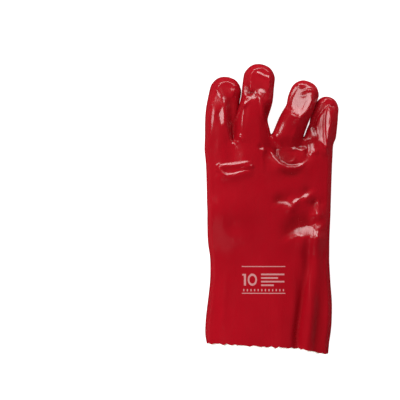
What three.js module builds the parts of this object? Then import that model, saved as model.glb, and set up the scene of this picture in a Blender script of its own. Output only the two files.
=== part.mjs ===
// A PVC coated work glove for the right hand, lying with its back up: a red dipped coat over a
// knitted cotton lining. Millimetres, +Z up, fingers towards +Y, cuff towards -Y.
import * as THREE from "three";

// Driving sizes
const bodyLength = 202; // cuff edge to finger roots, along the middle finger
const palmWidth = 123; // flat width across the finger roots
const cuffHeight = 35; // height of the open cuff
const palmHeight = 27; // height of the hand part, without the thumb below it
const thumbLength = 90; // root hole to tip
const thumbWidth = 27;
const thumbHeight = 15;
const coatWall = 1;
const liningWall = 0.7;
const liningGap = 0.28; // between coat and lining
const webDrop = 6.5; // how far the skin dips between two fingers, above and below
const webReach = 30; // length of that dip on the hand
const toothHeight = 1.5; // of the pinked edge
const toothCount = 44;
const floorPress = 1.6; // how far the soft underside is pressed flat where it rests
const thumbClearance = 1.2; // between the thumb and the palm above it

// Mesh resolution
const fingerColumns = 4; // across each finger, above and below
const sideRows = 2; // down each side
const bodyRows = 22;
const tubeRings = 6; // along each finger, without its dome
const domeRings = 3;
const thumbRows = { first: 10, count: 4 }; // rows of the palm that the thumb's root takes

// The fingers, from the thumb's side. length and width are the real ones in plan, height is the tube's
// own. Lengths run in plan from the finger root to the tip.
const fingers = [
  {
    name: "index", length: 69.2, width: 31, height: 22, tip: 1.0,
    sections: [
      { along: 0.0, drift: -0.006, width: 0.9, lift: 1.24 },
      { along: 0.25, drift: 0.008, width: 0.93, lift: 1.22 },
      { along: 0.5, drift: 0.038, width: 0.99, lift: 1.06 },
      { along: 0.68, drift: 0.071, width: 0.99, lift: 0.82 },
      { along: 0.85, drift: 0.105, width: 0.97, lift: 0.6 },
      { along: 1.0, drift: 0.132, width: 0.9, lift: 0.42 },
    ],
  },
  {
    name: "middle", length: 76.2, width: 31.5, height: 22, tip: 1.0,
    sections: [
      { along: 0.0, drift: 0.0, width: 1.0, lift: 1.12 },
      { along: 0.26, drift: -0.005, width: 0.94, lift: 1.18 },
      { along: 0.52, drift: 0.064, width: 0.97, lift: 1.08 },
      { along: 0.66, drift: 0.082, width: 0.97, lift: 0.9 },
      { along: 0.79, drift: 0.099, width: 0.97, lift: 0.7 },
      { along: 1.0, drift: 0.16, width: 0.94, lift: 0.44 },
    ],
  },
  {
    name: "ring", length: 57.6, width: 27, height: 21, tip: 1.0,
    sections: [
      { along: 0.0, drift: -0.02, width: 1.02, lift: 0.92 },
      { along: 0.28, drift: 0.1, width: 1.03, lift: 1.14 },
      { along: 0.49, drift: 0.206, width: 0.97, lift: 1.24 },
      { along: 0.63, drift: 0.25, width: 1.02, lift: 1.04 },
      { along: 0.77, drift: 0.31, width: 1.03, lift: 0.78 },
      { along: 1.0, drift: 0.385, width: 0.98, lift: 0.44 },
    ],
  },
  {
    name: "little", length: 46, width: 27.5, height: 19, tip: 1.2,
    sections: [
      { along: 0.0, drift: 0.0, width: 1.1, lift: 0.82 },
      { along: 0.27, drift: 0.108, width: 0.98, lift: 0.96 },
      { along: 0.45, drift: 0.142, width: 0.97, lift: 1.0 },
      { along: 0.63, drift: 0.184, width: 0.9, lift: 0.8 },
      { along: 0.81, drift: 0.24, width: 0.86, lift: 0.6 },
      { along: 1.0, drift: 0.32, width: 0.82, lift: 0.46 },
    ],
  },
];

// The thumb lies under the palm, on the floor, and points the way the fingers do.
const thumbSections = [
  { along: 0.0, drift: 0.0, width: 1.1, lift: 0.5 },
  { along: 0.3, drift: 0.01, width: 1.06, lift: 0.5 },
  { along: 0.5, drift: 0.03, width: 0.96, lift: 0.5 },
  { along: 0.75, drift: 0.07, width: 1.0, lift: 0.5 },
  { along: 1.0, drift: 0.11, width: 0.9, lift: 0.46 },
];

// The hand and gauntlet. left and right are shares of half the palm's width, baseLeft and baseRight are
// how far the underside is off the floor as shares of the thumb's height, and high is a share of the
// height there, which runs from the cuff's to the palm's.
const bodySections = [
  { along: 0.0, left: 0.972, right: 0.94, baseLeft: 0.0, baseRight: 0.0, high: 1.0 },
  { along: 0.05, left: 0.985, right: 0.945, baseLeft: 0.0, baseRight: 0.0, high: 1.0 },
  { along: 0.12, left: 0.98, right: 0.978, baseLeft: 0.0, baseRight: 0.0, high: 1.0 },
  { along: 0.24, left: 0.938, right: 0.99, baseLeft: 0.0, baseRight: 0.0, high: 1.0 },
  { along: 0.33, left: 0.91, right: 0.97, baseLeft: 0.0, baseRight: 0.0, high: 1.0 },
  { along: 0.44, left: 0.91, right: 0.95, baseLeft: 0.0, baseRight: 0.0, high: 1.05 },
  { along: 0.5, left: 0.935, right: 0.95, baseLeft: 0.06, baseRight: 0.01, high: 1.1 },
  { along: 0.55, left: 0.95, right: 0.952, baseLeft: 0.35, baseRight: 0.02, high: 1.08 },
  { along: 0.66, left: 0.956, right: 0.968, baseLeft: 0.88, baseRight: 0.12, high: 1.02 },
  { along: 0.8, left: 0.964, right: 0.98, baseLeft: 1.0, baseRight: 0.26, high: 0.96 },
  { along: 0.92, left: 0.976, right: 0.993, baseLeft: 1.0, baseRight: 0.32, high: 0.94 },
  { along: 1.0, left: 0.998, right: 1.01, baseLeft: 1.0, baseRight: 0.34, high: 0.9 },
];

// Where the fingers part, from the left edge to the right one: share of half the palm's width, and how
// far the finger root and the cuff's edge lie beyond their middle, as shares of the body's length.
const fingerRoots = [
  { across: -1.0, root: -0.07, edge: 0.015 },
  { across: -0.568, root: -0.05, edge: 0.016 },
  { across: 0.022, root: -0.017, edge: 0.003 },
  { across: 0.508, root: -0.026, edge: -0.005 },
  { across: 1.0, root: -0.045, edge: -0.033 },
];

const edgeShare = 0.94; // where the back turns into the side, as a share of the half width
const bodyRound = 2.8; // roundness of the body's section: 2 is an ellipse, more is boxier
const fingerRound = 2.25;
const shelfStart = -0.47; // the underside slopes from over the thumb to the floor between these shares
const shelfEnd = 0.1;
const fingerStart = 0.12; // the first ring's share of a finger
const fingerBlend = 0.42; // share of a finger over which it grows out of the hand
const thumbStart = 0.22;
const thumbBlend = 0.4;
const softReach = 13; // the skin is smoothed this far round the webs and the thumb's root
const softRounds = 6;

// Folds of the back, in plan: x as a share of half the palm's width, y as a share of the body's length.
// rise is a share of the palm's height, and reach, the fold's half width, one of the palm's width.
const folds = [
  { name: "ring_dimple", x1: 0.14, y1: 0.93, x2: 0.54, y2: 0.93, reach: 0.05, rise: -0.2 },
  { name: "ring_lip", x1: 0.1, y1: 0.862, x2: 0.56, y2: 0.862, reach: 0.035, rise: 0.1 },
  { name: "palm_dent", x1: 0.3, y1: 0.69, x2: 0.62, y2: 0.72, reach: 0.05, rise: -0.06 },
  { name: "cuff_valley", x1: 0.7, y1: 0.66, x2: 0.43, y2: -0.04, reach: 0.035, rise: -0.12 },
  { name: "cuff_ridge", x1: 0.78, y1: 0.66, x2: 0.57, y2: -0.04, reach: 0.04, rise: 0.09 },
  { name: "wrist_hollow", x1: -1.0, y1: 0.7, x2: -0.55, y2: 0.58, reach: 0.06, rise: -0.06 },
];

const mix = (a, b, t) => a + (b - a) * t;
const clamp = (x) => Math.min(1, Math.max(0, x));
const ease = (x) => clamp(x) ** 2 * (3 - 2 * clamp(x));

// A smooth curve through one column of a table, against its "along" column.
function at(rows, column, along) {
  let i = 1;
  while (i < rows.length - 1 && rows[i].along < along) i += 1;
  const [a, b] = [rows[i - 1], rows[i]];
  const span = b.along - a.along;
  const slope = (low, high) => ((high[column] - low[column]) / (high.along - low.along)) * span;
  const enter = slope(rows[Math.max(i - 2, 0)], b);
  const leave = slope(a, rows[Math.min(i + 1, rows.length - 1)]);
  const t = clamp((along - a.along) / span);
  return (
    a[column] * (2 * t ** 3 - 3 * t ** 2 + 1) +
    enter * (t ** 3 - 2 * t ** 2 + t) +
    b[column] * (3 * t ** 2 - 2 * t ** 3) +
    leave * (t ** 3 - t ** 2)
  );
}

// A row of fingerRoots between two finger roots, in a straight line.
function rootAt(across, column) {
  let i = 1;
  while (i < fingerRoots.length - 1 && fingerRoots[i].across < across) i += 1;
  const [a, b] = [fingerRoots[i - 1], fingerRoots[i]];
  return mix(a[column], b[column], clamp((across - a.across) / (b.across - a.across)));
}

// The border of the square from -1 to 1, clockwise from its top left corner, seen from the cuff.
function squareBorder(columns, rows) {
  const border = [];
  for (let i = 0; i < columns; i += 1) border.push([-1 + (2 * i) / columns, 1]);
  for (let i = 0; i < rows; i += 1) border.push([1, 1 - (2 * i) / rows]);
  for (let i = 0; i < columns; i += 1) border.push([1 - (2 * i) / columns, -1]);
  for (let i = 0; i < rows; i += 1) border.push([-1, -1 + (2 * i) / rows]);
  return border;
}

// A point of that square on the round section: its border is the section's outline.
function rounded([x, y], power) {
  const disc = [x * Math.sqrt(1 - (y * y) / 2), y * Math.sqrt(1 - (x * x) / 2)];
  const radius = Math.hypot(...disc);
  if (radius === 0) return [0, 0];
  const outline = (disc.map((d) => Math.abs(d / radius) ** power).reduce((a, b) => a + b)) ** (-1 / power);
  return disc.map((d) => d * outline);
}

// How far the folds lift or lower the back at a place in plan.
function foldRise(x, y) {
  let rise = 0;
  for (const f of folds) {
    const a = new THREE.Vector2((f.x1 * palmWidth) / 2, f.y1 * bodyLength);
    const b = new THREE.Vector2((f.x2 * palmWidth) / 2, f.y2 * bodyLength);
    const run = b.clone().sub(a);
    const p = new THREE.Vector2(x, y).sub(a);
    const share = clamp(p.dot(run) / run.lengthSq());
    const away = p.distanceTo(run.multiplyScalar(share)) / (f.reach * palmWidth);
    rise += f.rise * palmHeight * Math.exp(-away * away);
  }
  return rise;
}

// A growing skin: points, and faces that turn outwards.
class Skin {
  constructor() {
    this.points = [];
    this.faces = [];
  }

  add(point) {
    this.points.push(point);
    return this.points.length - 1;
  }

  // Faces between two closed rings with as many points each, the second one further out.
  bridge(near, far) {
    near.forEach((a, i) => {
      const j = (i + 1) % near.length;
      this.faces.push([a, near[j], far[j], far[i]]);
    });
  }

  // Faces between two closed rings with any numbers of points, both clockwise from the same place.
  zip(near, far) {
    let [i, j] = [0, 0];
    while (i < near.length || j < far.length) {
      const nearNext = (i + 1) / near.length <= (j + 1) / far.length;
      if (nearNext) {
        this.faces.push([near[i], near[(i + 1) % near.length], far[j % far.length]]);
        i += 1;
      } else {
        this.faces.push([near[i % near.length], far[(j + 1) % far.length], far[j]]);
        j += 1;
      }
    }
  }
}

// The outline of the body's section a share of the way from the cuff to the fingers.
function bodyPoint(across, up, along) {
  const halfWidth = palmWidth / 2;
  const left = -at(bodySections, "left", along) * halfWidth;
  const right = at(bodySections, "right", along) * halfWidth;
  const x = mix(left, right, (across + 1) / 2);
  const y = bodyLength * mix(rootAt(across, "edge"), 1 + rootAt(across, "root"), along);
  const baseLeft = at(bodySections, "baseLeft", along);
  const baseRight = at(bodySections, "baseRight", along);
  const overThumb = 1 - ease((across - shelfStart) / (shelfEnd - shelfStart));
  const ground = (share) => share * (thumbHeight + thumbClearance) - floorPress * (1 - share);
  const under = ground(mix(baseRight, baseLeft, overThumb));
  const level = ground(mix(baseLeft, baseRight, (across + 1) / 2)) + floorPress;
  const over = level + at(bodySections, "high", along) * mix(cuffHeight, palmHeight, ease(along * 1.4 - 0.2));
  const profile = (1 - Math.min(1, Math.abs(across)) ** bodyRound) ** (1 / bodyRound);
  const dip = fingerRoots.slice(1, -1).reduce((sum, root) => {
    const away = ((across - root.across) * halfWidth) / (webDrop * 0.8);
    return sum + Math.exp(-away * away);
  }, 0);
  const near = ease(1 - ((1 - along) * bodyLength) / webReach);
  const half = ((over - under) / 2) * profile - webDrop * dip * near;
  const rise = up > 0 ? foldRise(x, y) * profile : 0;
  return new THREE.Vector3(x, y, (over + under) / 2 + up * half + rise);
}

// The body's columns above, from left to right, as shares of the half width.
function bodyColumns() {
  const shares = [];
  for (let f = 0; f < fingers.length; f += 1) {
    const [a, b] = [fingerRoots[f].across, fingerRoots[f + 1].across];
    for (let i = 0; i < fingerColumns; i += 1) shares.push(mix(a, b, i / fingerColumns));
  }
  shares.push(1);
  return shares.map((s) => Math.max(-edgeShare, Math.min(edgeShare, s)));
}

// One tube with a dome at its end: a finger or the thumb. base is the ring of points that it grows from.
function growTube(skin, base, spec) {
  const { columns, rows, sections, length, width, height, tip, root, first, blend, carry } = spec;
  const border = squareBorder(columns, rows);
  const domeReach = (tip * width) / 2;
  const dome = domeReach / length;
  const centre = (along) =>
    new THREE.Vector3(
      root.x + at(sections, "drift", along) * length,
      root.y + along * length,
      at(sections, "lift", along) * height,
    );
  const start = centre(0);
  // A point of the tube: square is its place in the section, size how far out of the tube's axis.
  const tubePoint = (square, along, size, reach) => {
    const middle = centre(along);
    const ahead = centre(along + 0.02).sub(centre(along - 0.02)).normalize();
    const side = new THREE.Vector3(0, 0, 1).cross(ahead).normalize().negate();
    const up = side.clone().cross(ahead);
    const [across, above] = rounded(square, fingerRound);
    return middle
      .addScaledVector(side, ((across * width) / 2) * at(sections, "width", along) * size)
      .addScaledVector(up, ((above * height) / 2) * size)
      .addScaledVector(ahead, reach);
  };
  const stations = [];
  for (let i = 0; i < tubeRings; i += 1)
    stations.push({ along: mix(first, 1 - dome, i / (tubeRings - 1)), turn: 0 });
  for (let i = 1; i <= domeRings; i += 1) stations.push({ along: 1 - dome, turn: (0.9 * i) / domeRings });
  let ring = base;
  for (const { along, turn } of stations) {
    const reach = domeReach * Math.sin(turn);
    const next = border.map((square, i) => {
      const grown = tubePoint(square, along, Math.cos(turn), reach);
      const carried = skin.points[base[i]].clone().addScaledVector(centre(along).sub(start), carry);
      return skin.add(carried.lerp(grown, ease(along / blend)));
    });
    skin.bridge(ring, next);
    ring = next;
  }
  // The grid that closes the dome.
  const last = Math.cos(0.9);
  const grid = [];
  for (let r = 0; r <= rows; r += 1) {
    grid.push([]);
    for (let c = 0; c <= columns; c += 1) {
      const square = [-1 + (2 * c) / columns, 1 - (2 * r) / rows];
      const onBorder = border.findIndex(([x, y]) => Math.hypot(x - square[0], y - square[1]) < 1e-6);
      const size = last * Math.max(Math.abs(square[0]), Math.abs(square[1]));
      const reach = domeReach * Math.sqrt(1 - size * size);
      grid[r].push(
        onBorder < 0
          ? skin.add(tubePoint(square, 1 - dome, last, reach))
          : ring[onBorder],
      );
    }
  }
  for (let r = 0; r < rows; r += 1)
    for (let c = 0; c < columns; c += 1)
      skin.faces.push([grid[r][c + 1], grid[r][c], grid[r + 1][c], grid[r + 1][c + 1]].reverse());
}

// Smooths the skin round some of its points, most next to them.
function soften(skin, centres) {
  const neighbours = skin.points.map(() => new Set());
  for (const face of skin.faces)
    face.forEach((a, i) => {
      const b = face[(i + 1) % face.length];
      neighbours[a].add(b);
      neighbours[b].add(a);
    });
  const share = skin.points.map((p) => {
    const away = Math.min(...centres.map((c) => p.distanceTo(c)));
    return 0.6 * ease(1 - away / softReach);
  });
  for (let round = 0; round < softRounds; round += 1) {
    const before = skin.points.map((p) => p.clone());
    skin.points.forEach((p, i) => {
      if (share[i] === 0 || neighbours[i].size === 0) return;
      const mean = new THREE.Vector3();
      neighbours[i].forEach((n) => mean.add(before[n]));
      p.lerp(mean.divideScalar(neighbours[i].size), share[i]);
    });
  }
}

// The outer skin of the coat, with its cuff edge as a ring of points.
function outerSkin() {
  const skin = new Skin();
  const columns = bodyColumns();
  const topCount = columns.length;
  // One ring: above from left to right, down the right side, below from right to left, up the left.
  const ringShares = [];
  const side = [];
  for (let i = 1; i < sideRows; i += 1) side.push(1 - (2 * i) / sideRows);
  columns.forEach((c) => ringShares.push([c, 1]));
  side.forEach((s) => ringShares.push([mix(1, edgeShare, Math.abs(s)), s]));
  [...columns].reverse().forEach((c) => ringShares.push([c, -1]));
  [...side].reverse().forEach((s) => ringShares.push([-mix(1, edgeShare, Math.abs(s)), s]));

  const rings = [];
  for (let r = 1; r <= bodyRows; r += 1)
    rings.push(ringShares.map(([c, up]) => skin.add(bodyPoint(c, up, r / bodyRows))));

  // The pinked edge has its own, finer ring.
  const edge = [];
  for (let i = 0; i < 2 * toothCount; i += 1) {
    const place = (i / (2 * toothCount)) * ringShares.length;
    const [a, b] = [Math.floor(place), Math.floor(place + 1) % ringShares.length];
    const start = bodyPoint(...ringShares[a], 0);
    const point = start.lerp(bodyPoint(...ringShares[b], 0), place - a);
    point.y += i % 2 ? toothHeight : 0;
    edge.push(skin.add(point));
  }
  skin.zip(edge, rings[0]);

  // The palm below the thumb's root is left open for it.
  const under = (column) => topCount + side.length + (topCount - 1 - column);
  const inHole = (row, i) =>
    row >= thumbRows.first &&
    row < thumbRows.first + thumbRows.count &&
    i < under(0) &&
    i >= under(fingerColumns);
  for (let r = 0; r < bodyRows - 1; r += 1)
    rings[r].forEach((a, i) => {
      const j = (i + 1) % ringShares.length;
      if (!inHole(r, i)) skin.faces.push([a, rings[r][j], rings[r + 1][j], rings[r + 1][i]]);
    });

  // The fingers.
  const last = rings[bodyRows - 1];
  const webs = [];
  let leftSide = [];
  for (let i = ringShares.length - 1; i > under(0); i -= 1) leftSide.push(last[i]);
  fingers.forEach((finger, f) => {
    const from = f * fingerColumns;
    const isLast = f === fingers.length - 1;
    let rightSide = [];
    const corner = { top: last[from + fingerColumns], below: last[under(from + fingerColumns)] };
    for (let i = 1; i < sideRows; i += 1) {
      const down = skin.points[corner.top].clone().lerp(skin.points[corner.below], i / sideRows);
      rightSide.push(isLast ? last[topCount + i - 1] : skin.add(down));
    }
    if (!isLast) webs.push(...rightSide.map((p) => skin.points[p].clone()));
    const base = [];
    for (let i = 0; i < fingerColumns; i += 1) base.push(last[from + i]);
    base.push(corner.top, ...rightSide);
    for (let i = fingerColumns; i > 0; i -= 1) base.push(last[under(from + i)]);
    base.push(last[under(from)], ...[...leftSide].reverse());
    const middle = base.reduce((sum, p) => sum.add(skin.points[p]), new THREE.Vector3()).divideScalar(base.length);
    growTube(skin, base, {
      ...finger, columns: fingerColumns, rows: sideRows, root: middle, first: fingerStart,
      blend: fingerBlend, carry: 1,
    });
    leftSide = rightSide;
  });

  // The thumb, from the palm's hole.
  const [near, far] = [thumbRows.first, thumbRows.first + thumbRows.count];
  const hole = [];
  for (let i = 0; i < fingerColumns; i += 1) hole.push(rings[far][under(i)]);
  for (let r = far; r > near; r -= 1) hole.push(rings[r][under(fingerColumns)]);
  for (let i = fingerColumns; i > 0; i -= 1) hole.push(rings[near][under(i)]);
  for (let r = near; r < far; r += 1) hole.push(rings[r][under(0)]);
  const middle = hole.reduce((sum, p) => sum.add(skin.points[p]), new THREE.Vector3()).divideScalar(hole.length);
  growTube(skin, hole, {
    columns: fingerColumns, rows: thumbRows.count, sections: thumbSections, length: thumbLength,
    width: thumbWidth, height: thumbHeight, tip: 1, root: middle, first: thumbStart,
    blend: thumbBlend, carry: 0,
  });

  const thumbWeb = hole.slice(1, fingerColumns).map((p) => skin.points[p].clone());
  soften(skin, [...webs, ...thumbWeb]);
  skin.points.forEach((p) => {
    p.z = Math.max(0, p.z);
  });
  skin.edge = edge;
  return skin;
}

// The skin's points moved inwards, so that every face around a point moves by the depth.
function insetPoints(skin, depth) {
  const around = skin.points.map(() => []);
  for (const face of skin.faces) {
    const p = face.map((i) => skin.points[i]);
    const turn = p[2].clone().sub(p[0]).cross((p[3] ?? p[0]).clone().sub(p[1])).normalize();
    face.forEach((i) => around[i].push(turn));
  }
  return skin.points.map((p, i) => {
    const mean = around[i].reduce((sum, n) => sum.add(n), new THREE.Vector3()).normalize();
    // Least squares for the exact move, held near the mean direction.
    const m = new Array(9).fill(0);
    const miss = new THREE.Vector3();
    for (const n of around[i]) {
      const c = n.toArray();
      for (let k = 0; k < 9; k += 1) m[k] += c[k % 3] * c[Math.floor(k / 3)];
      miss.addScaledVector(n, 1 - n.dot(mean));
    }
    for (const k of [0, 4, 8]) m[k] += 0.12 * around[i].length;
    const move = mean.add(miss.applyMatrix3(new THREE.Matrix3().fromArray(m).invert()));
    if (skin.edge.includes(i)) move.y = 0;
    return p.clone().addScaledVector(move.clampLength(0, 2.2), -depth);
  });
}

// A wall between two depths below the outer skin, closed along the cuff's edge.
function wallGeometry(skin, outer, inner) {
  const points = [...insetPoints(skin, outer), ...insetPoints(skin, inner)];
  const shift = skin.points.length;
  const triangles = [];
  const addFace = (face) => {
    triangles.push(face[0], face[1], face[2]);
    if (face.length === 4) triangles.push(face[0], face[2], face[3]);
  };
  for (const face of skin.faces) {
    addFace(face);
    addFace([face[0], ...face.slice(1).reverse()].map((i) => i + shift));
  }
  skin.edge.forEach((a, i) => {
    const b = skin.edge[(i + 1) % skin.edge.length];
    addFace([b, a, a + shift, b + shift]);
  });
  const geometry = new THREE.BufferGeometry();
  geometry.setAttribute("position", new THREE.Float32BufferAttribute(points.flatMap((p) => p.toArray()), 3));
  geometry.setIndex(triangles);
  geometry.computeVertexNormals();
  return geometry;
}

const skin = outerSkin();

const coat = new THREE.Mesh(
  wallGeometry(skin, 0, coatWall),
  new THREE.MeshStandardMaterial({ color: 0xa81020, roughness: 0.3, metalness: 0 }),
);
coat.name = "pvc_coat";

const liningDepth = coatWall + liningGap;
const lining = new THREE.Mesh(
  wallGeometry(skin, liningDepth, liningDepth + liningWall),
  new THREE.MeshStandardMaterial({ color: 0xe8dfc8, roughness: 0.95, metalness: 0 }),
);
lining.name = "cotton_lining";

// The origin is under the middle of the glove, on the floor.
const box = new THREE.Box3().setFromObject(coat);
const glove = new THREE.Group();
glove.add(coat, lining);
glove.position.set(-(box.min.x + box.max.x) / 2, -(box.min.y + box.max.y) / 2, -box.min.z);

export default glove;
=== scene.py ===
"""A thick dipped work glove lying back up: a glossy red coat over a knitted cotton lining.

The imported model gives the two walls, coat and lining. Each wall is rounded from its own cage and takes on the folds
of the back. The raw cut edge, the finishes, the floor, the lights and the camera are added.
"""

import math

import bmesh
import bpy
import numpy as np
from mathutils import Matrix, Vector, kdtree


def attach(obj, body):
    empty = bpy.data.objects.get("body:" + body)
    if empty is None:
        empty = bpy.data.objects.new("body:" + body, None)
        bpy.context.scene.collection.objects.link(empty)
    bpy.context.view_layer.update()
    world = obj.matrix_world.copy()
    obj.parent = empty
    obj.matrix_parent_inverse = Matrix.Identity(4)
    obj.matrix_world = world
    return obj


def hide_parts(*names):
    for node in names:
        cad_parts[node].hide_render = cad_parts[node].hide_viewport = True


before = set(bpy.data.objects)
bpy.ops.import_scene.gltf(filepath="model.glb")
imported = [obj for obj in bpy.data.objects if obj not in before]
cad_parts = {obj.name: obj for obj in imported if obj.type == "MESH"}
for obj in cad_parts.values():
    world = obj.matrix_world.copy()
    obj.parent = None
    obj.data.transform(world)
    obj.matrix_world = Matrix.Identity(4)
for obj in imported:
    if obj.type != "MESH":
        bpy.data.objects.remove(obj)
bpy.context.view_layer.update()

bl_info = {
    "name": "Coated work glove",
    "version": (1, 0, 0),
    "blender": (4, 5, 0),
    "location": "View3D > Sidebar > Glove",
    "description": "Makes the coat, the lining, the cut edge and the stage of a coated work glove",
    "category": "Object",
}

MM = 0.001
TEETH = 31  # of the pinked edge, all the way round the cuff

# What one operator leaves for the next: the coat's outer skin and the line of the lining's cut edge
made = {}

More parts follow.
